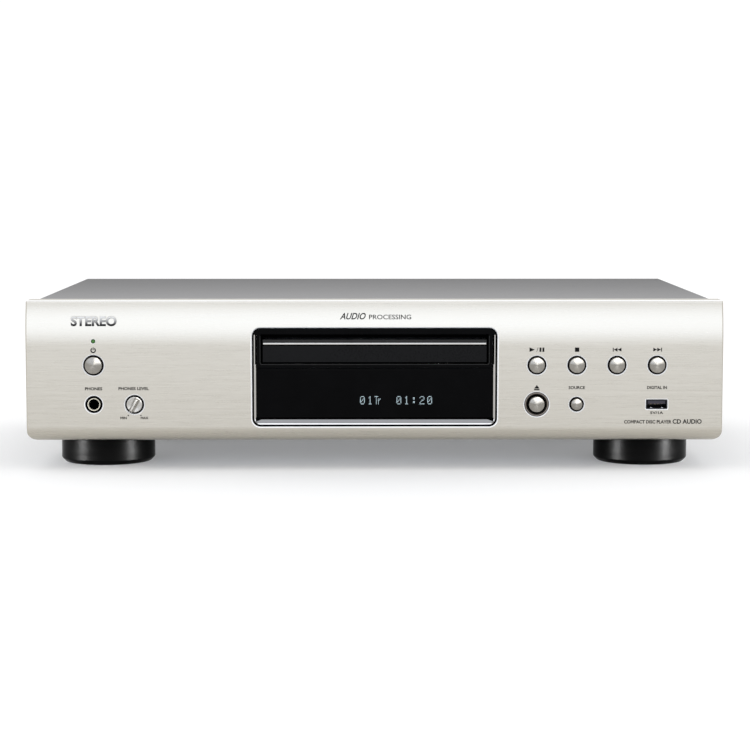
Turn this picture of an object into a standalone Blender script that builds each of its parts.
"""A full-width hi-fi CD player, as an assembly of the pieces that it comes apart into on a bench.

Frame: +X is to the right seen from the front, +Y is to the back and +Z is up. The origin is in the middle of
the overall footprint, on the surface that the feet stand on. Every size below is in millimetres; MM turns it
into metres when a mesh is made. Run it with: blender --background --python part.py
"""

import math

import bmesh
import bpy
from mathutils import Vector

MM = 0.001
GAP = 0.3  # left between two pieces that rest on each other

# --- overall -----------------------------------------------------------------------------------------------
WIDTH = 434.0
HEIGHT = 106.0
DEPTH = 275.0  # from the tip of the level knob to the tips of the rear sockets
FOOT_HEIGHT = 18.0
FRONT_TIP = -DEPTH / 2
REAR_TIP = DEPTH / 2

# --- fascia ------------------------------------------------------------------------------------------------
KNOB_PROTRUSION = 5.5
FACE = FRONT_TIP + KNOB_PROTRUSION  # the flat of the front panel
FASCIA_DEPTH = 20.0
FASCIA_BACK = FACE + FASCIA_DEPTH
FASCIA_WALL = 4.0
FASCIA_RETURN = 3.0  # thickness of its top, bottom and end walls
FASCIA_INSIDE = FACE + FASCIA_WALL
FOOT_ROLL = (7.0, 11.5)  # depth and height of the curve that tucks the lower edge under
LEAN_START = 77.7  # the face leans back above this height
LEAN_RADIUS = 103.0
FASCIA_CORNER = 6.5

# --- window, with the tray opening over the display lens ----------------------------------------------------
WINDOW_HALF = 76.3
WINDOW_LOW, WINDOW_HIGH = 27.4, 89.0
WINDOW_CORNER = 5.0
TRIM_SIDE = 1.7  # width of the bright rim at the sides
TRIM_FOOT = 3.7  # and along the bottom
RIM_GAP = 0.9  # dark gap between the fascia and the rim
BEZEL_FOOT = 64.2  # the upper bezel ends here and the lens begins
TRAY_OPENING_HALF = 71.1
TRAY_OPENING_LOW, TRAY_OPENING_HIGH = 66.5, 84.9

# --- controls, as (x, z, radius of the hole in the fascia) --------------------------------------------------
UPPER_ROW, LOWER_ROW = 65.8, 41.3
BUTTON_COLUMNS = (101.0, 125.9, 150.9, 175.9)
LEFT_COLUMN = -174.9
BUTTONS = {
    "power_button": (LEFT_COLUMN, UPPER_ROW, 6.4),
    "play_button": (BUTTON_COLUMNS[0], UPPER_ROW, 5.9),
    "stop_button": (BUTTON_COLUMNS[1], UPPER_ROW, 5.9),
    "previous_button": (BUTTON_COLUMNS[2], UPPER_ROW, 5.9),
    "next_button": (BUTTON_COLUMNS[3], UPPER_ROW, 5.9),
    "eject_button": (BUTTON_COLUMNS[0], LOWER_ROW, 5.9),
    "source_button": (BUTTON_COLUMNS[1], LOWER_ROW, 4.6),
}
BUTTON_CLEARANCE = 0.8
BUTTON_PROUD = 1.8
CAP_CHAMFER = (0.7, 0.6)  # inwards and back, round the front of a cap
FLANGE_WIDTH, FLANGE_THICK = 1.6, 1.2  # keeps a button from falling out of the front
STEM_RADIUS = 1.6
EJECT_RING_RADIUS = 7.7
KNOB_X, KNOB_HOLE = -149.6, 5.95
KNOB_RADIUS = 4.9
KNOB_SHAFT = 2.0
KNOB_REST = 208.0  # the pointer's direction at the lowest level, in degrees clockwise from the top
JACK_HOLE = 5.4
JACK_BORE = 3.25
JACK_BODY = 7.5  # half the side of its square body
LED_Z, LED_HOLE = 80.8, 1.4
USB_X, USB_SIZE = BUTTON_COLUMNS[3], (13.1, 5.7)

# --- case --------------------------------------------------------------------------------------------------
COVER_HALF = 213.0
COVER_TOP = HEIGHT - 0.4
COVER_FRONT = FASCIA_BACK + GAP
COVER_BACK = 130.5
SHEET = 1.0
COVER_BEND = 2.0  # outer radius where the top folds down into a side
COVER_LIP = 12.0
SIDE_VENTS = (9, 35.0, 9.0, 3.0)  # how many, the first one's front edge, pitch and width
SIDE_VENT_HEIGHTS = (52, 84)
REAR_PANEL = (128.2, 129.2)  # front and back of the rear panel
CHASSIS_SHEET = 1.2
CHASSIS_FLOOR = FOOT_HEIGHT + GAP
CHASSIS_RIM = 14.0
FLOOR_VENT = (30.0, 4.0)
FLOOR_VENT_X, FLOOR_VENT_Y = (-150, 110), range(10, 70, 12)
FRONT_FRAME = (-109.5, -108.5)
BOARD_FRONT = -118.3  # the board behind the controls
BOARD = 1.6
SWITCH_DEPTH, SWITCH_HALF = 2.6, 3.0
SWITCH_GAP = 1.7  # a pressed button stops just short of its switch's body
SOLDER = 0.4  # how far a part soldered to a board reaches into it
FOOT_RADIUS = 30.0
FOOT_BEVEL = (1.92, 2.4)
FOOT_HOLLOW = (21.0, 11.0)  # radius and depth of the hollow underneath
FOOT_SCREW = 2.6
FOOT_X = 172.0
FOOT_Y = (FACE + 21.0 + FOOT_RADIUS, 88.0)

# --- tray --------------------------------------------------------------------------------------------------
DISC_Y = -62.0  # the disc's centre with the tray shut
TRAY_HALF = 65.0
TRAY_FRONT_END, TRAY_REAR_END = -127.0, 56.0
TRAY_FLOOR, TRAY_RIM = 70.3, 79.5
DISC_FLOOR, SMALL_DISC_FLOOR = 73.0, 71.6
DISC_RECESS, SMALL_DISC_RECESS = 61.0, 41.0
SLOT_HALF = 19.0  # for the turntable and the lens
REAR_CUT = (55.0, DISC_Y + 48)  # half width and start of the lowered rear part
LINE_HALF = 0.5  # half the height of the bright line across the tray's front
FLANGE_OUT, FLANGE_LOW, FLANGE_HIGH = 68.6, 73.0, 75.0
TRAY_TRAVEL = 138.0
RACK_FOOT = 67.2

# --- drive -------------------------------------------------------------------------------------------------
PRESSURE_ANGLE = math.radians(20)
DRIVE_MODULE = 1.0
TRAY_GEAR_TEETH, WHEEL_TEETH = 24, 12
TRAY_GEAR = (40.0, -94.0)
WHEEL = (TRAY_GEAR[0] - DRIVE_MODULE * (TRAY_GEAR_TEETH + WHEEL_TEETH) / 2, TRAY_GEAR[1])
LOADING_MOTOR = (-20.0, TRAY_GEAR[1])
WHEEL_PULLEY, MOTOR_PULLEY = 12.0, 4.0
BELT = 1.3
PULLEY_LOW, PULLEY_HIGH = 47.0, 51.2

# --- loader frame ------------------------------------------------------------------------------------------
FRAME_HALF = 72.0
FRAME_WALL = 69.6
FRAME_FRONT, FRAME_BACK = -107.0, 80.0
FRAME_LOW, FRAME_TOP = 44.0, 84.0
FRAME_DECK = 46.5

# --- traverse: the deck that carries the turntable and the optics -------------------------------------------
PIVOT_Y, PIVOT_Z = 52.0, 58.0
DECK_HALF = 31.0
DECK_FRONT = -80.0
DECK_LOW, DECK_HIGH = 58.0, 60.0
DISC_HEIGHT = 75.0  # underside of a disc on the turntable
RODS = (17.0, 65.5, 1.5)  # half spacing, height and radius of the guide rods
ROD_ENDS = (-50.0, 20.0)
LENS_Y = DISC_Y + 24.0  # over the innermost track
SLED = (21.0, 62.8, 69.3)  # half width, underside and top
SLED_MODULE, SLED_PINION_TEETH = 0.8, 12
SLED_RACK_X = 24.0
SLED_GEAR = (SLED_RACK_X + SLED_MODULE * SLED_PINION_TEETH / 2, -6.0)
FINE_MODULE, SLED_WHEEL_TEETH, SLED_MOTOR_TEETH = 0.6, 30, 10
SLED_MESH_ANGLE = math.radians(135)
SLED_CENTRES = FINE_MODULE * (SLED_WHEEL_TEETH + SLED_MOTOR_TEETH) / 2
SLED_MOTOR = (
    SLED_GEAR[0] + SLED_CENTRES * math.cos(SLED_MESH_ANGLE),
    SLED_GEAR[1] + SLED_CENTRES * math.sin(SLED_MESH_ANGLE),
)
FINE_GEAR_LOW, FINE_GEAR_HIGH = 60.4, 62.4
CAM_PIN = (-12.0, 62.0, 1.5)  # x, z and radius of the pin that the cam slot lifts
CAM_DROP, CAM_TRAVEL = 6.65, 14.0
CAM_Y = (-88.0, -85.6)


# ============================================================================================================
# tools
# ============================================================================================================
def material(name, colour, roughness, metallic=0.0):
    made = bpy.data.materials.new(name)
    made.use_nodes = True
    shader = made.node_tree.nodes["Principled BSDF"]
    shader.inputs["Base Color"].default_value = (*colour, 1.0)
    shader.inputs["Roughness"].default_value = roughness
    shader.inputs["Metallic"].default_value = metallic
    return made


def solid(name, bm, finish, origin=(0, 0, 0)):
    """Turns a bmesh drawn in the player's own millimetres into an object with its origin at that point."""
    bmesh.ops.translate(bm, verts=bm.verts, vec=-Vector(origin))
    bmesh.ops.scale(bm, verts=bm.verts, vec=(MM, MM, MM))
    bmesh.ops.recalc_face_normals(bm, faces=bm.faces)
    mesh = bpy.data.meshes.new(name)
    bm.to_mesh(mesh)
    bm.free()
    mesh.shade_smooth()
    mesh.set_sharp_from_angle(angle=math.radians(35))
    if finish:
        mesh.materials.append(finish)
    made = bpy.data.objects.new(name, mesh)
    made.location = Vector(origin) * MM
    bpy.context.collection.objects.link(made)
    return made


def combine(body, operation, tools):
    """Adds one Boolean for each tool, which stays in the file as a hidden helper."""
    for number, bm in enumerate(tools):
        helper = solid(f"{body.name}_{operation.lower()}_{number}", bm, None)
        helper.hide_render = True
        helper.display_type = "WIRE"
        modifier = body.modifiers.new(helper.name, "BOOLEAN")
        modifier.operation = operation
        modifier.solver = "EXACT"
        modifier.object = helper
    return body


def cut(body, *tools):
    return combine(body, "DIFFERENCE", tools)


def join(body, *tools):
    return combine(body, "UNION", tools)


def box(x, y, z):
    """A block between two values on each axis."""
    bm = bmesh.new()
    bmesh.ops.create_cube(bm, size=1.0)
    sizes = Vector((x[1] - x[0], y[1] - y[0], z[1] - z[0]))
    bmesh.ops.scale(bm, verts=bm.verts, vec=sizes)
    centre = Vector((sum(x) / 2, sum(y) / 2, sum(z) / 2))
    bmesh.ops.translate(bm, verts=bm.verts, vec=centre)
    return bm


def prism(outline, axis, span):
    """Extrudes an outline along X, Y or Z. Its points are (y, z), (x, z) or (x, y)."""
    place = {
        "X": lambda a, b: (span[0], a, b),
        "Y": lambda a, b: (a, span[0], b),
        "Z": lambda a, b: (a, b, span[0]),
    }[axis]
    along = Vector([span[1] - span[0] if axis == name else 0.0 for name in "XYZ"])
    bm = bmesh.new()
    face = bm.faces.new([bm.verts.new(place(a, b)) for a, b in outline])
    grown = bmesh.ops.extrude_face_region(bm, geom=[face])
    moved = [item for item in grown["geom"] if isinstance(item, bmesh.types.BMVert)]
    bmesh.ops.translate(bm, verts=moved, vec=along)
    return bm


def turned(profile, centre, axis="Z", steps=20, ring=False):
    """Spins a profile of (radius, height) points about X, Y or Z. A ring's profile is a closed loop."""
    centre, turn = Vector(centre), Vector([float(axis == name) for name in "XYZ"])
    side = Vector((0, 0, 1)) if axis == "X" else Vector((1, 0, 0))
    bm = bmesh.new()
    points = [bm.verts.new(centre + side * r + turn * h) for r, h in profile]
    pairs = list(zip(points, points[1:]))
    if ring:
        pairs.append((points[-1], points[0]))
    edges = [bm.edges.new(pair) for pair in pairs]
    bmesh.ops.spin(
        bm,
        geom=[*points, *edges],
        cent=centre,
        axis=turn,
        angle=math.tau,
        steps=steps,
        use_merge=True,
    )
    bmesh.ops.remove_doubles(bm, verts=bm.verts, dist=1e-4)
    return bm


def cylinder(radius, span, centre, axis="Z", steps=20):
    """A plain round bar: centre gives its axis, and span its two ends along it."""
    low, high = span
    return turned([(0, low), (radius, low), (radius, high), (0, high)], centre, axis, steps)


def arc(centre, radius, start, end, steps):
    """Points on a circle between two angles in degrees, both ends included."""
    angles = [math.radians(start + (end - start) * i / steps) for i in range(steps + 1)]
    return [(centre[0] + radius * math.cos(a), centre[1] + radius * math.sin(a)) for a in angles]


def rounded(half, low, high, radii, steps=4, middle=0.0):
    """A rectangle with round corners. radii is (low corners, high corners)."""
    foot, head = radii
    return [
        *arc((middle + half - foot, low + foot), foot, -90, 0, steps),
        *arc((middle + half - head, high - head), head, 0, 90, steps),
        *arc((middle - half + head, high - head), head, 90, 180, steps),
        *arc((middle - half + foot, low + foot), foot, 180, 270, steps),
    ]


def involute(angle):
    return math.tan(angle) - angle


def gear_outline(teeth, module, centre, phase, backlash=0.12):
    """An external spur gear with stubbed involute teeth. phase is the angle of one tooth."""
    pitch = teeth * module / 2
    base = pitch * math.cos(PRESSURE_ANGLE)
    tip, root = pitch + 0.85 * module, pitch - 1.15 * module
    flank_start = max(base * 1.001, root)
    radii = sorted({root, flank_start, tip})
    half_pitch = math.pi / (2 * teeth) - backlash / 2 / pitch + involute(PRESSURE_ANGLE)

    def half_angle(radius):
        return half_pitch - involute(math.acos(min(1.0, base / max(radius, base))))

    outline = []
    for tooth in range(teeth):
        middle = phase + math.tau * tooth / teeth
        sides = [(r, middle - half_angle(r)) for r in radii]
        sides += [(r, middle + half_angle(r)) for r in reversed(radii)]
        outline += [(centre[0] + r * math.cos(a), centre[1] + r * math.sin(a)) for r, a in sides]
    return outline


def rack_outline(module, pitch_x, towards, ends, space_y, back, backlash=0.12):
    """A straight rack along Y. towards is -1 or +1, the side that its teeth point to along X.

    space_y is the middle of one tooth space, and back is how far the bar goes behind the pitch line."""
    pitch = math.pi * module
    tip_x, root_x = pitch_x + towards * 0.85 * module, pitch_x - towards * 1.15 * module
    half = pitch / 4 - backlash / 2
    narrow, wide = (half + k * module * math.tan(PRESSURE_ANGLE) for k in (-0.85, 1.15))
    first = math.ceil((ends[0] + wide - space_y) / pitch - 0.5)
    outline = [(pitch_x - towards * back, ends[0]), (root_x, ends[0])]
    middle = space_y + (first + 0.5) * pitch
    while middle + wide < ends[1]:
        outline += [(root_x, middle - wide), (tip_x, middle - narrow)]
        outline += [(tip_x, middle + narrow), (root_x, middle + wide)]
        middle += pitch
    outline += [(root_x, ends[1]), (pitch_x - towards * back, ends[1])]
    return outline


# ============================================================================================================
# materials
# ============================================================================================================
SILVER = material("silver_fascia", (0.62, 0.59, 0.54), 0.32, 1.0)
CAP_SILVER = material("spun_caps", (0.72, 0.71, 0.69), 0.22, 1.0)
BRONZE = material("eject_surround", (0.24, 0.22, 0.19), 0.35, 1.0)
CHROME = material("bright_trim", (0.86, 0.86, 0.87), 0.10, 1.0)
GLOSS_BLACK = material("gloss_black", (0.012, 0.012, 0.013), 0.08)
LENS_BLACK = material("smoked_lens", (0.008, 0.008, 0.009), 0.04)
MATTE_BLACK = material("matte_black", (0.02, 0.02, 0.02), 0.55)
COVER_GREY = material("cover_paint", (0.24, 0.24, 0.24), 0.42, 0.6)
ZINC = material("zinc_sheet", (0.58, 0.59, 0.60), 0.38, 1.0)
REAR_PAINT = material("rear_panel_paint", (0.03, 0.03, 0.032), 0.5)
BOARD_GREEN = material("circuit_board", (0.05, 0.19, 0.09), 0.5)
GLASS = material("display_glass", (0.05, 0.07, 0.07), 0.05)
LED_GREEN = material("led_green", (0.12, 0.55, 0.12), 0.3)
GOLD = material("gold_contact", (0.83, 0.64, 0.30), 0.25, 1.0)
STEEL = material("bright_steel", (0.66, 0.66, 0.67), 0.25, 1.0)
IRON = material("laminated_core", (0.20, 0.18, 0.17), 0.6, 0.7)
COIL_TAPE = material("coil_tape", (0.55, 0.42, 0.08), 0.5)
WHITE_GEAR = material("acetal_white", (0.82, 0.81, 0.77), 0.4)
LOADER_GREY = material("loader_plastic", (0.09, 0.09, 0.095), 0.5)
RUBBER = material("rubber", (0.015, 0.015, 0.015), 0.8)
SLEEVE_BLUE = material("capacitor_sleeve", (0.04, 0.06, 0.13), 0.35)
LENS_CLEAR = material("pickup_lens", (0.35, 0.42, 0.60), 0.05)


# ============================================================================================================
# fascia and window
# ============================================================================================================
def face_setback(z):
    """How far the leaning upper part of the face is behind its flat at this height."""
    rise = max(0.0, z - LEAN_START)
    return LEAN_RADIUS - math.sqrt(LEAN_RADIUS**2 - rise**2)


def fascia_section():
    """The front panel's outline from the side: tucked under at the foot, flat, then leaning back."""
    roll_depth, roll_height = FOOT_ROLL
    edge, steps = 1.0, 6
    bottom = FOOT_HEIGHT
    roll = [math.radians(90 - 90 * i / steps) for i in range(steps + 1)]
    section = [(FASCIA_BACK, bottom)]
    for a in roll:
        y = FACE + roll_depth * (1 - math.cos(a))
        section.append((y, bottom + roll_height * (1 - math.sin(a))))
    lean_top = HEIGHT - edge
    for i in range(steps + 1):
        z = LEAN_START + (lean_top - LEAN_START) * i / steps
        section.append((FACE + face_setback(z), z))
    section.append((FACE + face_setback(lean_top) + edge, HEIGHT))
    section.append((FASCIA_BACK, HEIGHT))
    return section


def control_hole(x, z, radius):
    """A cutter for a round hole through the front wall."""
    past = 1.0
    return cylinder(radius, (FACE - past, FASCIA_INSIDE + past), (x, 0, z), "Y", 20)


def make_fascia():
    fascia = solid("fascia", prism(fascia_section(), "X", (-WIDTH / 2, WIDTH / 2)), SILVER)
    front_view = rounded(WIDTH / 2, FOOT_HEIGHT, HEIGHT + 5, (FASCIA_CORNER, 0.5), 5)
    combine(fascia, "INTERSECT", [prism(front_view, "Y", (FACE - 5, FASCIA_BACK + 5))])
    low, high = FOOT_HEIGHT + FASCIA_RETURN, HEIGHT - FASCIA_RETURN
    past = FASCIA_BACK + 2
    pocket = [
        (FASCIA_INSIDE, 32.0),
        (FASCIA_INSIDE + 4.0, low),
        (past, low),
        (past, high),
        (FASCIA_INSIDE + 3.5, high),
        (FASCIA_INSIDE, LEAN_START + 2),
    ]
    reach = WIDTH / 2 - FASCIA_RETURN
    through = (FACE - 3, FASCIA_INSIDE + 3)
    window = rounded(WINDOW_HALF, WINDOW_LOW, WINDOW_HIGH, (WINDOW_CORNER, WINDOW_CORNER))
    usb = box((USB_X - USB_SIZE[0] / 2 - GAP, USB_X + USB_SIZE[0] / 2 + GAP), through, usb_heights(GAP))
    holes = [hole for name, hole in BUTTONS.items() if name != "eject_button"]
    holes.append((BUTTON_COLUMNS[0], LOWER_ROW, EJECT_RING_RADIUS))
    holes.append((KNOB_X, LOWER_ROW, KNOB_HOLE))
    holes.append((LEFT_COLUMN, LOWER_ROW, JACK_HOLE))
    cut(
        fascia,
        prism(pocket, "X", (-reach, reach)),
        prism(window, "Y", through),
        usb,
        control_hole(LEFT_COLUMN, LED_Z, LED_HOLE),
        *[control_hole(*hole) for hole in holes],
    )


def usb_heights(margin=0.0):
    return LOWER_ROW - USB_SIZE[1] / 2 - margin, LOWER_ROW + USB_SIZE[1] / 2 + margin


def make_window():
    """The tray bezel, the lens under it and the bright rim round both."""
    outer = WINDOW_HALF - RIM_GAP
    inner = outer - TRIM_SIDE
    low = WINDOW_LOW + RIM_GAP
    front, back = FACE + 0.4, FASCIA_INSIDE + 2.0
    trim_top = WINDOW_HIGH - WINDOW_CORNER - 0.6
    trim = [
        (-outer, trim_top),
        *arc((-outer + 4, low + 4), 4, 180, 270, 4),
        *arc((outer - 4, low + 4), 4, 270, 360, 4),
        (outer, trim_top),
        (inner, trim_top),
        *arc((inner - 2, low + TRIM_FOOT + 2), 2, 360, 270, 3),
        *arc((-inner + 2, low + TRIM_FOOT + 2), 2, 270, 180, 3),
        (-inner, trim_top),
    ]
    solid("window_trim", prism(trim, "Y", (front, FASCIA_INSIDE)), CHROME)

    lens_low = low + TRIM_FOOT + GAP
    lens = rounded(inner - GAP, lens_low, BEZEL_FOOT - GAP, (1.9, 0.4), 2)
    solid("display_lens", prism(lens, "Y", (front + 0.2, front + 2.6)), LENS_BLACK)

    # The bezel fills the head of the window over the rim, and stands between its side bars lower down.
    head = trim_top + GAP
    corner = WINDOW_CORNER - GAP
    high = WINDOW_HIGH - GAP
    bezel = [
        (inner - GAP, BEZEL_FOOT),
        (inner - GAP, head),
        (WINDOW_HALF - GAP, head),
        *arc((WINDOW_HALF - GAP - corner, high - corner), corner, 0, 90, 4),
        *arc((-WINDOW_HALF + GAP + corner, high - corner), corner, 90, 180, 4),
        (-WINDOW_HALF + GAP, head),
        (-inner + GAP, head),
        (-inner + GAP, BEZEL_FOOT),
    ]
    body = solid("window_bezel", prism(bezel, "Y", (front, back)), GLOSS_BLACK)
    opening = rounded(TRAY_OPENING_HALF, TRAY_OPENING_LOW, TRAY_OPENING_HIGH, (0.8, 0.8), 2)
    cut(body, prism(opening, "Y", (front - 1, back + 1)))


# ============================================================================================================
# controls
# ============================================================================================================
def make_button(name, x, z, hole):
    """A spun metal cap with a retaining flange behind the fascia and a stem towards its switch."""
    radius = hole - BUTTON_CLEARANCE
    face = FACE - BUTTON_PROUD
    flange = FASCIA_INSIDE + 0.6
    stem_end = BOARD_FRONT - SWITCH_DEPTH - SWITCH_GAP
    origin = (x, face, z)
    profile = [
        (0, face + 0.15),
        (radius - CAP_CHAMFER[0], face),
        (radius, face + CAP_CHAMFER[1]),
        (radius, flange),
        (radius + FLANGE_WIDTH, flange),
        (radius + FLANGE_WIDTH, flange + FLANGE_THICK),
        (STEM_RADIUS, flange + FLANGE_THICK),
        (STEM_RADIUS, stem_end),
        (0, stem_end),
    ]
    solid(name, turned(profile, (x, 0, z), "Y", 16), CAP_SILVER, origin)


def make_eject_ring():
    """A dished surround that sinks the open and close button below the face."""
    ring = [
        (EJECT_RING_RADIUS - GAP, FACE + 0.1),
        (EJECT_RING_RADIUS - GAP, FASCIA_INSIDE - 0.2),
        (BUTTONS["eject_button"][2], FASCIA_INSIDE - 0.2),
        (BUTTONS["eject_button"][2], FACE + 1.5),
        (EJECT_RING_RADIUS - 0.8, FACE + 0.1),
    ]
    centre = (BUTTON_COLUMNS[0], 0, LOWER_ROW)
    solid("eject_ring", turned(ring, centre, "Y", 20, ring=True), BRONZE)


def make_level_knob():
    """A disc with a raised grip bar and a pointer nib, on a shaft into its control."""
    disc_front = FACE - 0.8
    shaft_end = BOARD_FRONT - 7.5
    axis = (KNOB_X, FRONT_TIP, LOWER_ROW)
    profile = [
        (0, disc_front + 0.3),
        (KNOB_RADIUS - 0.5, disc_front),
        (KNOB_RADIUS, disc_front + 0.4),
        (KNOB_RADIUS, FACE + 2.6),
        (KNOB_SHAFT, FACE + 2.6),
        (KNOB_SHAFT, shaft_end),
        (0, shaft_end),
    ]
    knob = solid("level_knob", turned(profile, (KNOB_X, 0, LOWER_ROW), "Y", 18), CAP_SILVER, axis)
    direction = math.radians(KNOB_REST)
    along = Vector((math.sin(direction), math.cos(direction)))
    across = Vector((along.y, -along.x))
    centre = Vector((KNOB_X, LOWER_ROW))

    def bar(near, far, half, half_top, span):
        """A bar from near to far along the pointer, narrower at the front."""
        bm = prism(
            [centre + along * d + across * s * half for d, s in ((near, -1), (far, -1), (far, 1), (near, 1))],
            "Y",
            span,
        )
        for vert in bm.verts:
            if abs(vert.co.y - span[0]) < 1e-3:
                offset = Vector((vert.co.x, vert.co.z)) - centre
                side = offset.dot(across)
                shift = across * (math.copysign(half_top, side) - side)
                vert.co.x += shift.x
                vert.co.z += shift.y
        return bm

    grip = bar(-KNOB_RADIUS + 0.5, KNOB_RADIUS - 0.5, 1.9, 0.75, (FRONT_TIP, disc_front + 1.0))
    nib = bar(KNOB_RADIUS - 1.2, KNOB_HOLE - 0.3, 0.9, 0.7, (disc_front - 0.4, FACE + 1.6))
    join(knob, grip, nib)


def make_headphone_jack():
    """A 6.3 mm socket: a black bush and body, and the metal sleeve that the plug slides in."""
    front = FACE + 0.2
    depth = (FACE + 5.0, FACE + 33.0)
    centre = (LEFT_COLUMN, 0, LOWER_ROW)
    bush = solid(
        "headphone_jack",
        box(
            (LEFT_COLUMN - JACK_BODY, LEFT_COLUMN + JACK_BODY),
            depth,
            (LOWER_ROW - JACK_BODY, LOWER_ROW + JACK_BODY),
        ),
        MATTE_BLACK,
    )
    join(bush, cylinder(JACK_HOLE - GAP, (front, depth[0] + 1), centre, "Y"))
    cut(bush, cylinder(4.5, (front - 1, depth[1] - 2), centre, "Y"))
    sleeve = [(4.15, front), (4.15, depth[1] - 3), (JACK_BORE, depth[1] - 3), (JACK_BORE, front)]
    solid("headphone_sleeve", turned(sleeve, centre, "Y", ring=True), GOLD)


def make_usb_port():
    wall = 0.4
    front, back = FACE + 0.2, FACE + 19.0
    half = USB_SIZE[0] / 2
    low, high = usb_heights()
    shell = solid("usb_shell", box((USB_X - half, USB_X + half), (front, back), (low, high)), STEEL)
    inside_x = (USB_X - half + wall, USB_X + half - wall)
    cut(shell, box(inside_x, (front - 1, back - 1.2), (low + wall, high - wall)))
    tongue_z = (high - wall - 2.3, high - wall - GAP)
    tongue_x = (inside_x[0] + 0.6, inside_x[1] - 0.6)
    solid("usb_tongue", box(tongue_x, (front + 1.0, back - 1.6), tongue_z), MATTE_BLACK)


def make_front_board():
    """One board behind the fascia: switches for the seven buttons, the display and the level control."""
    back = BOARD_FRONT + BOARD
    half, low, top = 205.0, 25.0, 78.0
    dip_half, dip = 78.0, 62.0  # leaves the tray's way clear
    outline = [
        (-half, low),
        (half, low),
        (half, top),
        (dip_half, top),
        (dip_half, dip),
        (-dip_half, dip),
        (-dip_half, top),
        (-half, top),
    ]
    board = solid("front_board", prism(outline, "Y", (BOARD_FRONT, back)), BOARD_GREEN)
    through = (BOARD_FRONT - 1, back + 1)
    jack_half, usb_half = JACK_BODY + 1.0, (USB_SIZE[0] / 2 + 0.95, USB_SIZE[1] / 2 + 1.15)
    cut(
        board,
        box(
            (LEFT_COLUMN - jack_half, LEFT_COLUMN + jack_half),
            through,
            (LOWER_ROW - jack_half, LOWER_ROW + jack_half),
        ),
        box(
            (USB_X - usb_half[0], USB_X + usb_half[0]),
            through,
            (LOWER_ROW - usb_half[1], LOWER_ROW + usb_half[1]),
        ),
    )
    switches = [
        box(
            (x - SWITCH_HALF, x + SWITCH_HALF),
            (BOARD_FRONT - SWITCH_DEPTH, BOARD_FRONT + SOLDER),
            (z - SWITCH_HALF, z + SWITCH_HALF),
        )
        for x, z, _ in BUTTONS.values()
    ]
    controller = box((-110, -92), (back - SOLDER, back + 2), (38, 54))
    plug = box((92, 118), (back - SOLDER, back + 5), (46, 52))
    join(board, *switches, controller, plug)

    standing = (BOARD_FRONT - 7.0, BOARD_FRONT - GAP)
    solid("display_tube", box((-52, 52), standing, (33.5, 60)), GLASS)
    control = box((KNOB_X - 6, KNOB_X + 6), standing, (LOWER_ROW - 6.5, LOWER_ROW + 6.5))
    solid("level_control", control, MATTE_BLACK)
    led_radius, led_back = LED_HOLE - GAP, -121.0
    led = [(0, FACE - 0.2), (0.8, FACE), (led_radius, FACE + 0.5), (led_radius, led_back), (0, led_back)]
    solid("power_led", turned(led, (LEFT_COLUMN, 0, LED_Z), "Y", 12), LED_GREEN)


# ============================================================================================================
# case
# ============================================================================================================
def make_top_cover():
    """Folded sheet: a top, two sides with vent slots, and a lip that laps the rear panel."""
    outer, inner = COVER_BEND, COVER_BEND - SHEET
    low = CHASSIS_FLOOR + 1.7
    top = COVER_TOP
    half = COVER_HALF
    section = [
        (half - SHEET, low),
        (half, low),
        *arc((half - outer, top - outer), outer, 0, 90, 3),
        *arc((-half + outer, top - outer), outer, 90, 180, 3),
        (-half, low),
        (-half + SHEET, low),
        *arc((-half + outer, top - outer), inner, 180, 90, 3),
        *arc((half - outer, top - outer), inner, 90, 0, 3),
    ]
    cover = solid("top_cover", prism(section, "Y", (COVER_FRONT, COVER_BACK)), COVER_GREY)
    lip = box(
        (-half + SHEET / 2, half - SHEET / 2),
        (COVER_BACK - SHEET, COVER_BACK),
        (top - COVER_LIP, top - SHEET / 2),
    )
    join(cover, lip)
    count, first, pitch, width = SIDE_VENTS
    slots = []
    for side in (-1, 1):
        x = sorted((side * (half - 3), side * (half + 2)))
        for number in range(count):
            y = first + number * pitch
            slots.append(box(x, (y, y + width), SIDE_VENT_HEIGHTS))
    cut(cover, *slots)


def make_bottom_chassis():
    """A shallow steel tray with two banks of vent slots."""
    floor = CHASSIS_FLOOR
    half = COVER_HALF - SHEET - 0.5
    span = (FRONT_FRAME[1] + GAP, REAR_PANEL[0] - GAP)
    rim = floor + CHASSIS_RIM
    tray = solid("bottom_chassis", box((-half, half), span, (floor, rim)), ZINC)
    inner = CHASSIS_SHEET
    cut(
        tray,
        box(
            (-half + inner, half - inner),
            (span[0] + inner, span[1] + 5),
            (floor + inner, rim + 5),
        ),
        *[
            box((x, x + FLOOR_VENT[0]), (y, y + FLOOR_VENT[1]), (floor - 2, floor + 4))
            for x in FLOOR_VENT_X
            for y in FLOOR_VENT_Y
        ],
    )


def make_front_frame():
    """The steel cross plate over the chassis rim, which the fascia and its board are screwed to."""
    low = CHASSIS_FLOOR + CHASSIS_RIM + GAP
    front, back = FRONT_FRAME
    frame = solid("front_frame", box((-209, 209), FRONT_FRAME, (low, 103)), ZINC)
    deep = (front - 2, back + 2)
    cut(
        frame,
        box((-74, 74), deep, (63.5, 88)),
        box((LEFT_COLUMN - 9, LEFT_COLUMN + 9), deep, (LOWER_ROW - 9, LOWER_ROW + 9)),
        box((85, 125), deep, (42, 56)),
        box((-125, -85), deep, (34, 58)),
    )


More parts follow.
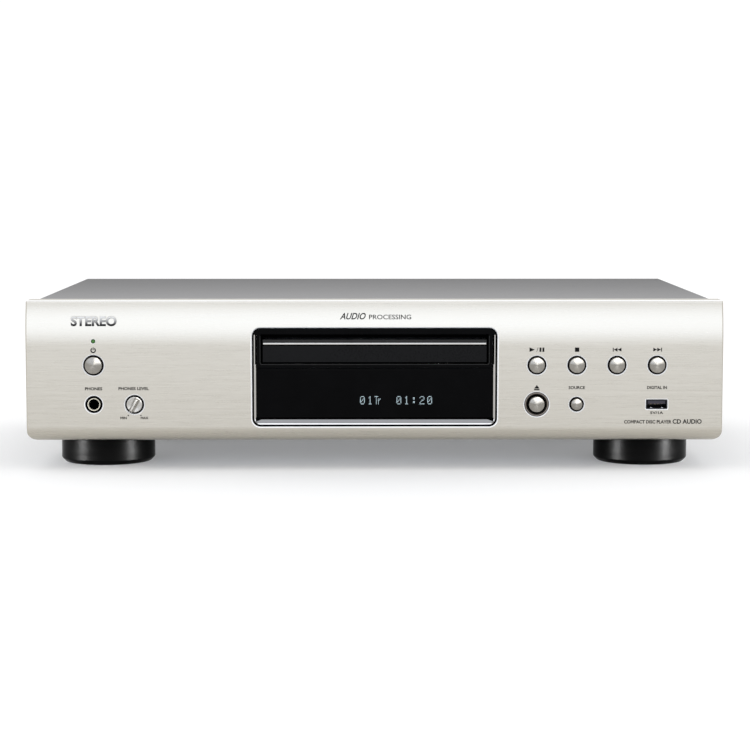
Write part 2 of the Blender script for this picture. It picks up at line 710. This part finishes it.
def make_foot(name, x, y):
    """A moulded foot, open underneath, with its screw hole through the top."""
    bevel_width, bevel = FOOT_BEVEL
    hollow_radius, hollow_depth = FOOT_HOLLOW
    profile = [
        (FOOT_SCREW, FOOT_HEIGHT),
        (FOOT_RADIUS, FOOT_HEIGHT),
        (FOOT_RADIUS, bevel),
        (FOOT_RADIUS - bevel_width, 0),
        (hollow_radius, 0),
        (hollow_radius, hollow_depth),
        (FOOT_SCREW, hollow_depth),
    ]
    solid(name, turned(profile, (x, y, 0), "Z", 24, ring=True), GLOSS_BLACK, (x, y, 0))


# ============================================================================================================
# rear
# ============================================================================================================
AUDIO_X = (150.0, 128.0)
SOCKET_Z = 66.0
COAX_X, OPTICAL_X = 84.0, 62.0
REMOTE_X = (38.0, 24.0)
INLET_X, INLET_Z = -176.0, 60.0
COLLAR, BARREL, SOCKET_BORE = 5.1, 4.15, 1.7  # radii of a phono socket
BLOCK_DEPTH, BLOCK_BELOW, BLOCK_ABOVE = 13.0, 11.0, 9.0  # of the moulded blocks behind the panel
BLOCK_HEIGHTS = (SOCKET_Z - BLOCK_BELOW, SOCKET_Z + BLOCK_ABOVE)
REAR_VENT_X = range(-110, -20, 9)


def make_rear_panel():
    low, high = CHASSIS_FLOOR + CHASSIS_SHEET + GAP, COVER_TOP - SHEET - 0.4
    panel = solid("rear_panel", box((-211.4, 211.4), REAR_PANEL, (low, high)), REAR_PAINT)
    deep = (REAR_PANEL[0] - 2, REAR_PANEL[1] + 2)
    round_holes = [(x, SOCKET_Z, COLLAR + GAP) for x in (*AUDIO_X, COAX_X)]
    round_holes += [(x, SOCKET_Z, 3.6) for x in REMOTE_X]
    cut(
        panel,
        *[cylinder(r, deep, (x, 0, z), "Y", 14) for x, z, r in round_holes],
        box((OPTICAL_X - 6, OPTICAL_X + 6), deep, (SOCKET_Z - 6, SOCKET_Z + 6)),
        box((INLET_X - 13, INLET_X + 13), deep, (INLET_Z - 9, INLET_Z + 9)),
        *[box((x, x + 3), deep, (40, 76)) for x in REAR_VENT_X],
    )


def make_audio_sockets():
    """A moulded block with the left and right line outputs."""
    inside = (REAR_PANEL[0] - BLOCK_DEPTH, REAR_PANEL[0] - GAP)
    body = box((min(AUDIO_X) - 9, max(AUDIO_X) + 9), inside, BLOCK_HEIGHTS)
    block = solid("audio_sockets", body, MATTE_BLACK)
    join(block, *[barrel(x, inside[1]) for x in AUDIO_X])
    cut(block, *[socket_hole(x) for x in AUDIO_X])


def barrel(x, inside):
    """One phono socket: a collar through the panel, then the ring that the plug grips."""
    collar = REAR_PANEL[1] + 2.2
    start = inside - 1
    profile = [(0, start), (COLLAR, start), (COLLAR, collar), (BARREL, collar)]
    profile += [(BARREL, REAR_TIP), (0, REAR_TIP)]
    return turned(profile, (x, 0, SOCKET_Z), "Y", 14)


def socket_hole(x):
    return cylinder(SOCKET_BORE, (REAR_PANEL[0] - 3, REAR_TIP + 1), (x, 0, SOCKET_Z), "Y", 12)


def make_digital_sockets():
    """A second block: the coaxial and optical outputs and two 3.5 mm control sockets."""
    inside = (REAR_PANEL[0] - BLOCK_DEPTH, REAR_PANEL[0] - GAP)
    body = box((min(REMOTE_X) - 7, COAX_X + 8), inside, BLOCK_HEIGHTS)
    block = solid("digital_sockets", body, MATTE_BLACK)
    proud = REAR_PANEL[1] + 1.6
    optical_x = (OPTICAL_X - 5.6, OPTICAL_X + 5.6)
    optical = box(optical_x, (inside[1] - 1, proud), (SOCKET_Z - 5.6, SOCKET_Z + 5.6))
    join(
        block,
        barrel(COAX_X, inside[1]),
        optical,
        *[cylinder(3.2, (inside[1] - 1, proud), (x, 0, SOCKET_Z), "Y", 16) for x in REMOTE_X],
    )
    mouth = box(
        (OPTICAL_X - 3.2, OPTICAL_X + 3.2),
        (REAR_PANEL[0] - 6, proud + 1),
        (SOCKET_Z - 3.0, SOCKET_Z + 3.0),
    )
    minis = [cylinder(1.8, (inside[0] + 2, proud + 1), (x, 0, SOCKET_Z), "Y", 12) for x in REMOTE_X]
    cut(block, socket_hole(COAX_X), mouth, *minis)


def make_ac_inlet():
    """A two-pin mains inlet: flange outside, housing inside, pins standing in a round-ended recess."""
    flange = (REAR_PANEL[1] + GAP, REAR_PANEL[1] + 2.3)
    body = solid(
        "ac_inlet",
        box((INLET_X - 12, INLET_X + 12), (110, flange[0] + 0.5), (INLET_Z - 8, INLET_Z + 8)),
        MATTE_BLACK,
    )
    plate = rounded(18, INLET_Z - 12, INLET_Z + 12, (2, 2), 3, INLET_X)
    join(body, prism(plate, "Y", flange))
    recess = rounded(7.9, INLET_Z - 4.4, INLET_Z + 4.4, (4.3, 4.3), 4, INLET_X)
    cut(body, prism(recess, "Y", (118, flange[1] + 1)))
    pins = [cylinder(1.2, (117, flange[1] - 1.5), (INLET_X + s * 4.3, 0, INLET_Z), "Y", 12) for s in (-1, 1)]
    join(body, *pins)


# ============================================================================================================
# electronics
# ============================================================================================================
MAIN_BOARD_Z = 28.0
CAPACITOR = (9.0, 30.0, 0.8)  # radius, height and bevel
CAPACITOR_X = 186.0
CORE = (31.0, 12.0, 52.0)  # half width, half depth and height of the transformer's core
COIL_WINDOWS = ((-21, -10), (10, 21))
HEATSINK = (-200.0, 62.0, 16.0, 40.0)  # left edge, front, depth and height
FINS, FIN_PITCH, FIN, FIN_ROOT = 7, 7.0, 2.0, 3.0


def make_main_board():
    """Decoder and output board, on four pillars, with its chips and connectors soldered in place."""
    z = MAIN_BOARD_Z
    board = solid("main_board", box((84, 204), (-95, 112), (z, z + BOARD)), BOARD_GREEN)
    top = z + BOARD
    chips = [(100, -60, 14, 14), (140, -20, 20, 20), (180, -70, 10, 14), (120, 60, 12, 8), (160, 70, 12, 8)]
    parts = [box((x, x + w), (y, y + d), (top - SOLDER, top + 2.2)) for x, y, w, d in chips]
    parts += [box((x, x + 22), (90, 96), (top - SOLDER, top + 8)) for x in (92, 130)]
    pillars = [
        cylinder(3, (CHASSIS_FLOOR + CHASSIS_SHEET + GAP, z + 0.4), (x, y, 0), steps=8)
        for x in (90, 198)
        for y in (-89, 106)
    ]
    join(board, *parts, *pillars)
    radius, height, bevel = CAPACITOR
    low, high = top + GAP, top + GAP + height
    can = [(0, low), (radius, low), (radius, high - bevel), (radius - bevel, high), (0, high)]
    for name, y in (("filter_capacitor_front", 5.0), ("filter_capacitor_rear", 30.0)):
        solid(name, turned(can, (CAPACITOR_X, y, 0), steps=20), SLEEVE_BLUE)


def make_power_supply():
    """The mains transformer, with its laminated core round the coil, and the regulators' heatsink."""
    x, y, z = -158.0, 20.0, CHASSIS_FLOOR + CHASSIS_SHEET + GAP
    half, half_depth, height = CORE
    block = box((x - half, x + half), (y - half_depth, y + half_depth), (z, z + height))
    core = solid("transformer_core", block, IRON)
    deep, limb = (y - half_depth - 2, y + half_depth + 2), 10.0
    cut(core, *[box((x + a, x + b), deep, (z + limb, z + height - limb)) for a, b in COIL_WINDOWS])
    coil_z = (z + limb + 0.5, z + height - limb - 0.5)
    coil = solid("transformer_coil", box((x - 20.6, x + 20.6), (y - 22, y + 22), coil_z), COIL_TAPE)
    bore = half_depth + 0.4
    cut(coil, box((x - limb - 0.4, x + limb + 0.4), (y - bore, y + bore), (z, z + height)))

    start, front, depth, height = HEATSINK
    tip, root = front + depth, front + FIN_ROOT
    comb = [(start, front)]
    for fin in range(FINS):
        left = start + fin * FIN_PITCH
        comb += [(left, tip), (left + FIN, tip)]
        if fin < FINS - 1:
            comb += [(left + FIN, root), (left + FIN_PITCH, root)]
    comb.append((start + (FINS - 1) * FIN_PITCH + FIN, front))
    solid("heatsink", prism(comb, "Z", (z, z + height)), MATTE_BLACK)


# ============================================================================================================
# loader
# ============================================================================================================
def make_loader_frame():
    """The moulded frame that the tray runs in and that carries the drive and the traverse."""
    base = solid(
        "loader_frame",
        box((-FRAME_HALF, FRAME_HALF), (FRAME_FRONT, FRAME_BACK), (FRAME_LOW, FRAME_DECK)),
        LOADER_GREY,
    )
    deck = FRAME_DECK - 0.5  # where the parts on the deck start, inside it
    parts = []
    for side in (-1, 1):
        wall = sorted((side * FRAME_WALL, side * FRAME_HALF))
        rib = sorted((side * (TRAY_HALF + 1), side * (FRAME_WALL + 0.5)))
        parts.append(box(wall, (FRAME_FRONT, FRAME_BACK), (deck, FRAME_TOP)))
        parts.append(box(rib, (FRAME_FRONT + 1, FRAME_BACK - 1), (FLANGE_LOW - 2.2, FLANGE_LOW - 0.4)))
        parts.append(box(rib, (FRAME_FRONT + 1, FRAME_BACK - 1), (FLANGE_HIGH + 0.4, FLANGE_HIGH + 2.2)))
        post = sorted((side * (DECK_HALF + 4), side * (DECK_HALF + 10)))
        parts.append(box(post, (PIVOT_Y - 5, PIVOT_Y + 5), (deck, PIVOT_Z + 5)))
        for y in (FRAME_FRONT + 8, FRAME_BACK - 8):
            legs = (CHASSIS_FLOOR + CHASSIS_SHEET + GAP, FRAME_LOW + 0.5)
            parts.append(cylinder(4, legs, (side * (FRAME_HALF - 6), y, 0), steps=10))
    for (x, y), height in ((TRAY_GEAR, TRAY_FLOOR - 0.5), (WHEEL, 61.0)):
        parts.append(cylinder(2.2, (deck, height), (x, y, 0), steps=12))
    guide = box(
        (-FRAME_WALL - 0.5, 12),
        (CAM_Y[0] - 0.6, CAM_Y[1] + 0.6),
        (CAM_PIN[1] + 5.2, CAM_PIN[1] + 7.2),
    )
    hood = box(
        (-FRAME_WALL - 0.5, FRAME_WALL + 0.5),
        (FRAME_FRONT, FRAME_FRONT + 3),
        (TRAY_RIM + 0.8, FRAME_TOP),
    )
    join(base, *parts, guide, hood)
    cut(
        base,
        box((-DECK_HALF - 3, DECK_HALF + 3), (DECK_FRONT - 4, 62), (FRAME_LOW - 2, FRAME_DECK + 2)),
        cylinder(4.5, (FRAME_LOW - 2, FRAME_DECK + 2), (*LOADING_MOTOR, 0), steps=16),
        cylinder(2.4, (-DECK_HALF - 12, DECK_HALF + 12), (0, PIVOT_Y, PIVOT_Z), "X", 16),
    )


def make_clamp():
    """The bridge over the tray, and the puck that hangs in it and grips the disc from above."""
    low, high = FRAME_TOP + GAP, FRAME_TOP + GAP + 1.2
    half_depth = 18.0
    bridge = solid(
        "clamp_bridge",
        box((-FRAME_HALF, FRAME_HALF), (DISC_Y - half_depth, DISC_Y + half_depth), (low, high)),
        ZINC,
    )
    cut(bridge, cylinder(13.2, (low - 2, high + 2), (0, DISC_Y, 0)))
    puck = [
        (0, DISC_HEIGHT + 2.4),
        (15.5, DISC_HEIGHT + 2.0),
        (15.5, DISC_HEIGHT + 4.5),
        (12.4, DISC_HEIGHT + 5.5),
        (12.4, high + 0.4),
        (16.5, high + 0.4),
        (16.5, high + 2.0),
        (11.0, high + 3.2),
        (0, high + 3.2),
    ]
    solid("clamp_puck", turned(puck, (0, DISC_Y, 0)), WHITE_GEAR, (0, DISC_Y, DISC_HEIGHT))


def make_tray():
    """The disc tray, its front panel and the bright line across it."""
    origin = (0, TRAY_FRONT_END, TRAY_FLOOR)
    body = solid(
        "disc_tray",
        box((-TRAY_HALF, TRAY_HALF), (TRAY_FRONT_END, TRAY_REAR_END), (TRAY_FLOOR, TRAY_RIM)),
        MATTE_BLACK,
        origin,
    )
    flanges = box(
        (-FLANGE_OUT, FLANGE_OUT),
        (TRAY_FRONT_END + 22, TRAY_REAR_END - 0.5),
        (FLANGE_LOW, FLANGE_HIGH),
    )
    rack_ends = (TRAY_GEAR[1] - 5, TRAY_GEAR[1] + TRAY_TRAVEL + 9)
    pitch_x = TRAY_GEAR[0] + DRIVE_MODULE * TRAY_GEAR_TEETH / 2
    rack = rack_outline(DRIVE_MODULE, pitch_x, -1, rack_ends, TRAY_GEAR[1], 4.5)
    join(body, flanges, prism(rack, "Z", (RACK_FOOT, TRAY_FLOOR + 0.5)))
    above = TRAY_RIM + 2
    slot = [
        *arc((0, DISC_Y), SLOT_HALF, 180, 360, 10),
        (SLOT_HALF, TRAY_REAR_END + 2),
        (-SLOT_HALF, TRAY_REAR_END + 2),
    ]
    cut(
        body,
        cylinder(DISC_RECESS, (DISC_FLOOR, above), (0, DISC_Y, 0), steps=40),
        cylinder(SMALL_DISC_RECESS, (SMALL_DISC_FLOOR, above), (0, DISC_Y, 0), steps=28),
        box((-REAR_CUT[0], REAR_CUT[0]), (REAR_CUT[1], TRAY_REAR_END + 2), (FLANGE_HIGH + 1, above)),
        prism(slot, "Z", (RACK_FOOT - 2, above)),
    )

    half = TRAY_OPENING_HALF - 1.4
    panel_front, panel_back = FACE + 1.4, TRAY_FRONT_END - GAP
    low, high = TRAY_OPENING_LOW + 0.7, TRAY_OPENING_HIGH - 3.2
    line = high - 2.4
    section = [
        (panel_front, low),
        (panel_front, line - LINE_HALF - GAP),
        (panel_front + 1.0, line - LINE_HALF - GAP),
        (panel_front + 1.0, line + LINE_HALF + GAP),
        (panel_front, line + LINE_HALF + GAP),
        (panel_back - 0.6, high),
        (panel_back, high),
        (panel_back, low),
    ]
    solid("tray_front", prism(section, "X", (-half, half)), GLOSS_BLACK)
    strip_x, strip_y = (-half + 0.3, half - 0.3), (panel_front - 0.4, panel_front + 0.7)
    solid("tray_trim", box(strip_x, strip_y, (line - LINE_HALF, line + LINE_HALF)), CHROME)


def make_tray_drive():
    """Loading motor, belt, stepped wheel and the gear that drives the tray's rack."""
    x, y = LOADING_MOTOR
    motor = [(0, 24), (12, 24), (12, FRAME_LOW - GAP), (0, FRAME_LOW - GAP)]
    solid("loading_motor", turned(motor, (x, y, 0), steps=20), STEEL)
    pulley = [
        (0, FRAME_LOW),
        (1.5, FRAME_LOW),
        (1.5, PULLEY_LOW),
        (MOTOR_PULLEY + 1, PULLEY_LOW),
        (MOTOR_PULLEY - 1, PULLEY_LOW + 1),
        (MOTOR_PULLEY - 1, PULLEY_HIGH - 1),
        (MOTOR_PULLEY + 1, PULLEY_HIGH),
        (0, PULLEY_HIGH),
    ]
    solid("motor_pulley", turned(pulley, (x, y, 0), steps=16), WHITE_GEAR, (x, y, PULLEY_LOW))

    gear = prism(
        gear_outline(TRAY_GEAR_TEETH, DRIVE_MODULE, TRAY_GEAR, 0.0),
        "Z",
        (55.0, TRAY_FLOOR - GAP - 0.1),
    )
    tray_gear = solid("tray_gear", gear, WHITE_GEAR, (*TRAY_GEAR, 55.0))
    cut(tray_gear, cylinder(2.5, (50, TRAY_RIM), (*TRAY_GEAR, 0), steps=12))

    bore = 2.5
    wheel = [
        (bore, PULLEY_LOW),
        (WHEEL_PULLEY + 0.8, PULLEY_LOW),
        (WHEEL_PULLEY - 1, PULLEY_LOW + 1),
        (WHEEL_PULLEY - 1, PULLEY_HIGH - 1),
        (WHEEL_PULLEY + 0.8, PULLEY_HIGH),
        (bore, PULLEY_HIGH),
    ]
    stepped = solid("belt_wheel", turned(wheel, (*WHEEL, 0), ring=True), WHITE_GEAR, (*WHEEL, PULLEY_LOW))
    phase = math.pi / WHEEL_TEETH
    pinion = prism(gear_outline(WHEEL_TEETH, DRIVE_MODULE, WHEEL, phase), "Z", (PULLEY_HIGH - 0.5, 61.0))
    join(stepped, pinion)
    cut(stepped, cylinder(bore, (PULLEY_LOW - 1, 62), (*WHEEL, 0), steps=12))
    make_belt()


def make_belt():
    """A square belt: two arcs round the pulleys and the straight runs between them."""
    span = WHEEL[0] - LOADING_MOTOR[0]
    lean = math.degrees(math.asin((WHEEL_PULLEY - MOTOR_PULLEY) / span))
    middle = (PULLEY_LOW + PULLEY_HIGH) / 2

    def loop(offset):
        return [
            *arc(WHEEL, WHEEL_PULLEY + offset, -90 - lean, 90 + lean, 16),
            *arc(LOADING_MOTOR, MOTOR_PULLEY + offset, 90 + lean, 270 - lean, 8),
        ]

    inside = -0.6
    belt = prism(loop(inside + BELT), "Z", (middle - BELT / 2, middle + BELT / 2))
    body = solid("drive_belt", belt, RUBBER)
    cut(body, prism(loop(inside), "Z", (middle - 3, middle + 3)))


# ============================================================================================================
# traverse
# ============================================================================================================
def make_traverse():
    """The tilting deck with its pivot pins, lifting pin and rod posts, and the parts fixed to it."""
    origin = (0, PIVOT_Y, PIVOT_Z)
    deck = solid(
        "traverse_plate",
        box((-DECK_HALF, DECK_HALF), (DECK_FRONT, PIVOT_Y + 4), (DECK_LOW, DECK_HIGH)),
        LOADER_GREY,
        origin,
    )
    half, height, radius = RODS
    posts = [
        box((x - 3.4, x + 3.4), (y - 2, y + 2), (DECK_HIGH - 0.5, height + 3))
        for x in (-half, half)
        for y in ROD_ENDS
    ]
    pin_x, pin_z, pin_radius = CAM_PIN
    upstand = box(
        (pin_x - 3, pin_x + 3),
        (DECK_FRONT, DECK_FRONT + 2.5),
        (DECK_HIGH - 0.5, pin_z + 3),
    )
    lift_pin = cylinder(pin_radius, (CAM_Y[0] - 0.6, DECK_FRONT + 1), (pin_x, 0, pin_z), "Y", 12)
    pivot_ends = [sorted((side * (DECK_HALF - 1), side * (DECK_HALF + 10))) for side in (-1, 1)]
    pivots = [cylinder(2.0, ends, (0, PIVOT_Y, PIVOT_Z), "X", 12) for ends in pivot_ends]
    collars = box((-DECK_HALF, DECK_HALF), (PIVOT_Y - 3.5, PIVOT_Y + 4), (PIVOT_Z - 3, PIVOT_Z + 3))
    join(deck, *posts, upstand, lift_pin, *pivots, collars)
    through = (DECK_LOW - 3, DECK_HIGH + 3)
    cut(
        deck,
        *[
            cylinder(radius + GAP, (ROD_ENDS[0] - 4, ROD_ENDS[1] + 4), (x, 0, height), "Y", 12)
            for x in (-half, half)
        ],
        cylinder(2.5, through, (0, DISC_Y, 0), steps=12),
        cylinder(1.6, through, (*SLED_MOTOR, 0), steps=12),
        box((-10, 10), (LENS_Y - 6, LENS_Y + 44), through),
    )
    for name, x in (("guide_rod_main", -half), ("guide_rod_sub", half)):
        rod = cylinder(radius, (ROD_ENDS[0] - 2, ROD_ENDS[1] + 2), (x, 0, height), "Y", 12)
        solid(name, rod, STEEL)
    motor = [(0, 49.5), (9.5, 49.5), (9.5, DECK_LOW - GAP), (0, DECK_LOW - GAP)]
    solid("spindle_motor", turned(motor, (0, DISC_Y, 0), steps=20), STEEL)
    small = [(0, 48.5), (6, 48.5), (6, DECK_LOW - GAP), (0, DECK_LOW - GAP)]
    solid("sled_motor", turned(small, (*SLED_MOTOR, 0), steps=16), STEEL)


def make_turntable():
    """The spindle with the table that a disc sits on and the cone that centres it."""
    profile = [
        (0, DECK_LOW),
        (1.2, DECK_LOW),
        (1.2, DECK_HIGH + 1),
        (4.0, DECK_HIGH + 1),
        (4.0, DISC_HEIGHT - 3),
        (14.5, DISC_HEIGHT - 2.2),
        (14.5, DISC_HEIGHT),
        (7.4, DISC_HEIGHT),
        (7.2, DISC_HEIGHT + 0.8),
        (5.0, DISC_HEIGHT + 1.6),
        (0, DISC_HEIGHT + 1.6),
    ]
    solid("turntable", turned(profile, (0, DISC_Y, 0)), MATTE_BLACK, (0, DISC_Y, DISC_HEIGHT))


def make_pickup():
    """The optical sled on its two rods, with the rack that moves it, and the lens on its suspension."""
    half, low, high = SLED
    origin = (0, LENS_Y, low)
    front, back = LENS_Y - 8, LENS_Y + 17
    sled = solid("pickup_sled", box((-half, half), (front, back), (low, high)), MATTE_BLACK, origin)
    rack_ends = (front + 0.5, SLED_GEAR[1] + 8)
    reach = SLED_RACK_X - half + 0.5
    rack = rack_outline(SLED_MODULE, SLED_RACK_X, 1, rack_ends, SLED_GEAR[1], reach)
    laser = box((-13, -5), (back - 1, back + 5), (low, high - 1))
    join(sled, prism(rack, "Z", (low, low + 3)), laser)
    cut(
        sled,
        *[
            cylinder(RODS[2] + GAP, (front - 2, back + 8), (x, 0, RODS[1]), "Y", 12)
            for x in (-RODS[0], RODS[0])
        ],
        box((-8, 8), (LENS_Y - 6, LENS_Y + 9), (high - 3.5, high + 2)),
    )
    holder = [
        (0, high - 2.4),
        (5.4, high - 2.4),
        (5.4, high + 1.0),
        (3.4, high + 1.0),
        (3.0, high + 3.0),
        (1.8, high + 3.5),
        (0, high + 3.7),
    ]
    solid("pickup_lens", turned(holder, (0, LENS_Y, 0), steps=20), LENS_CLEAR, (0, LENS_Y, high))


def make_sled_drive():
    """The stepped gear beside the sled's rack, and the motor's own small gear."""
    gear = prism(
        gear_outline(SLED_PINION_TEETH, SLED_MODULE, SLED_GEAR, 0.0),
        "Z",
        (FINE_GEAR_HIGH - 0.4, SLED[1] + 3.2),
    )
    stepped = solid("sled_gear", gear, WHITE_GEAR, (*SLED_GEAR, FINE_GEAR_LOW))
    tooth = math.tau / SLED_WHEEL_TEETH
    wheel = gear_outline(SLED_WHEEL_TEETH, FINE_MODULE, SLED_GEAR, SLED_MESH_ANGLE % tooth, 0.15)
    join(stepped, prism(wheel, "Z", (FINE_GEAR_LOW, FINE_GEAR_HIGH)))
    space = SLED_MESH_ANGLE + math.pi + math.pi / SLED_MOTOR_TEETH
    fine = gear_outline(SLED_MOTOR_TEETH, FINE_MODULE, SLED_MOTOR, space, 0.15)
    pinion = solid(
        "sled_motor_gear",
        prism(fine, "Z", (FINE_GEAR_LOW, FINE_GEAR_HIGH)),
        WHITE_GEAR,
        (*SLED_MOTOR, FINE_GEAR_LOW),
    )
    join(pinion, cylinder(1.0, (DECK_LOW, FINE_GEAR_LOW + 0.5), (*SLED_MOTOR, 0), steps=10))


def make_cam_slider():
    """The sliding plate whose sloping slot lifts and lowers the front of the traverse."""
    pin_x, pin_z, pin_radius = CAM_PIN
    low, high = pin_z - CAM_DROP - 4.0, pin_z + 4.8
    left, right = pin_x - CAM_TRAVEL - 6, pin_x + 6
    plate = solid(
        "cam_slider",
        box((left, right), CAM_Y, (low, high)),
        WHITE_GEAR,
        (pin_x, CAM_Y[0], pin_z),
    )
    slope = math.degrees(math.atan2(CAM_DROP, CAM_TRAVEL))
    width = pin_radius + 0.4
    slot = [
        *arc((pin_x, pin_z), width, slope - 90, slope + 90, 6),
        *arc((pin_x - CAM_TRAVEL, pin_z - CAM_DROP), width, slope + 90, slope + 270, 6),
    ]
    cut(plate, prism(slot, "Y", (CAM_Y[0] - 1, CAM_Y[1] + 1)))


# ============================================================================================================
def main():
    for obj in list(bpy.data.objects):
        bpy.data.objects.remove(obj, do_unlink=True)
    make_fascia()
    make_window()
    for name, (x, z, hole) in BUTTONS.items():
        make_button(name, x, z, hole)
    make_eject_ring()
    make_level_knob()
    make_headphone_jack()
    make_usb_port()
    make_front_board()
    make_top_cover()
    make_bottom_chassis()
    make_front_frame()
    for end, y in zip(("front", "rear"), FOOT_Y):
        for side, x in (("left", -FOOT_X), ("right", FOOT_X)):
            make_foot(f"foot_{end}_{side}", x, y)
    make_rear_panel()
    make_audio_sockets()
    make_digital_sockets()
    make_ac_inlet()
    make_main_board()
    make_power_supply()
    make_loader_frame()
    make_clamp()
    make_tray()
    make_tray_drive()
    make_traverse()
    make_turntable()
    make_pickup()
    make_sled_drive()
    make_cam_slider()


main()
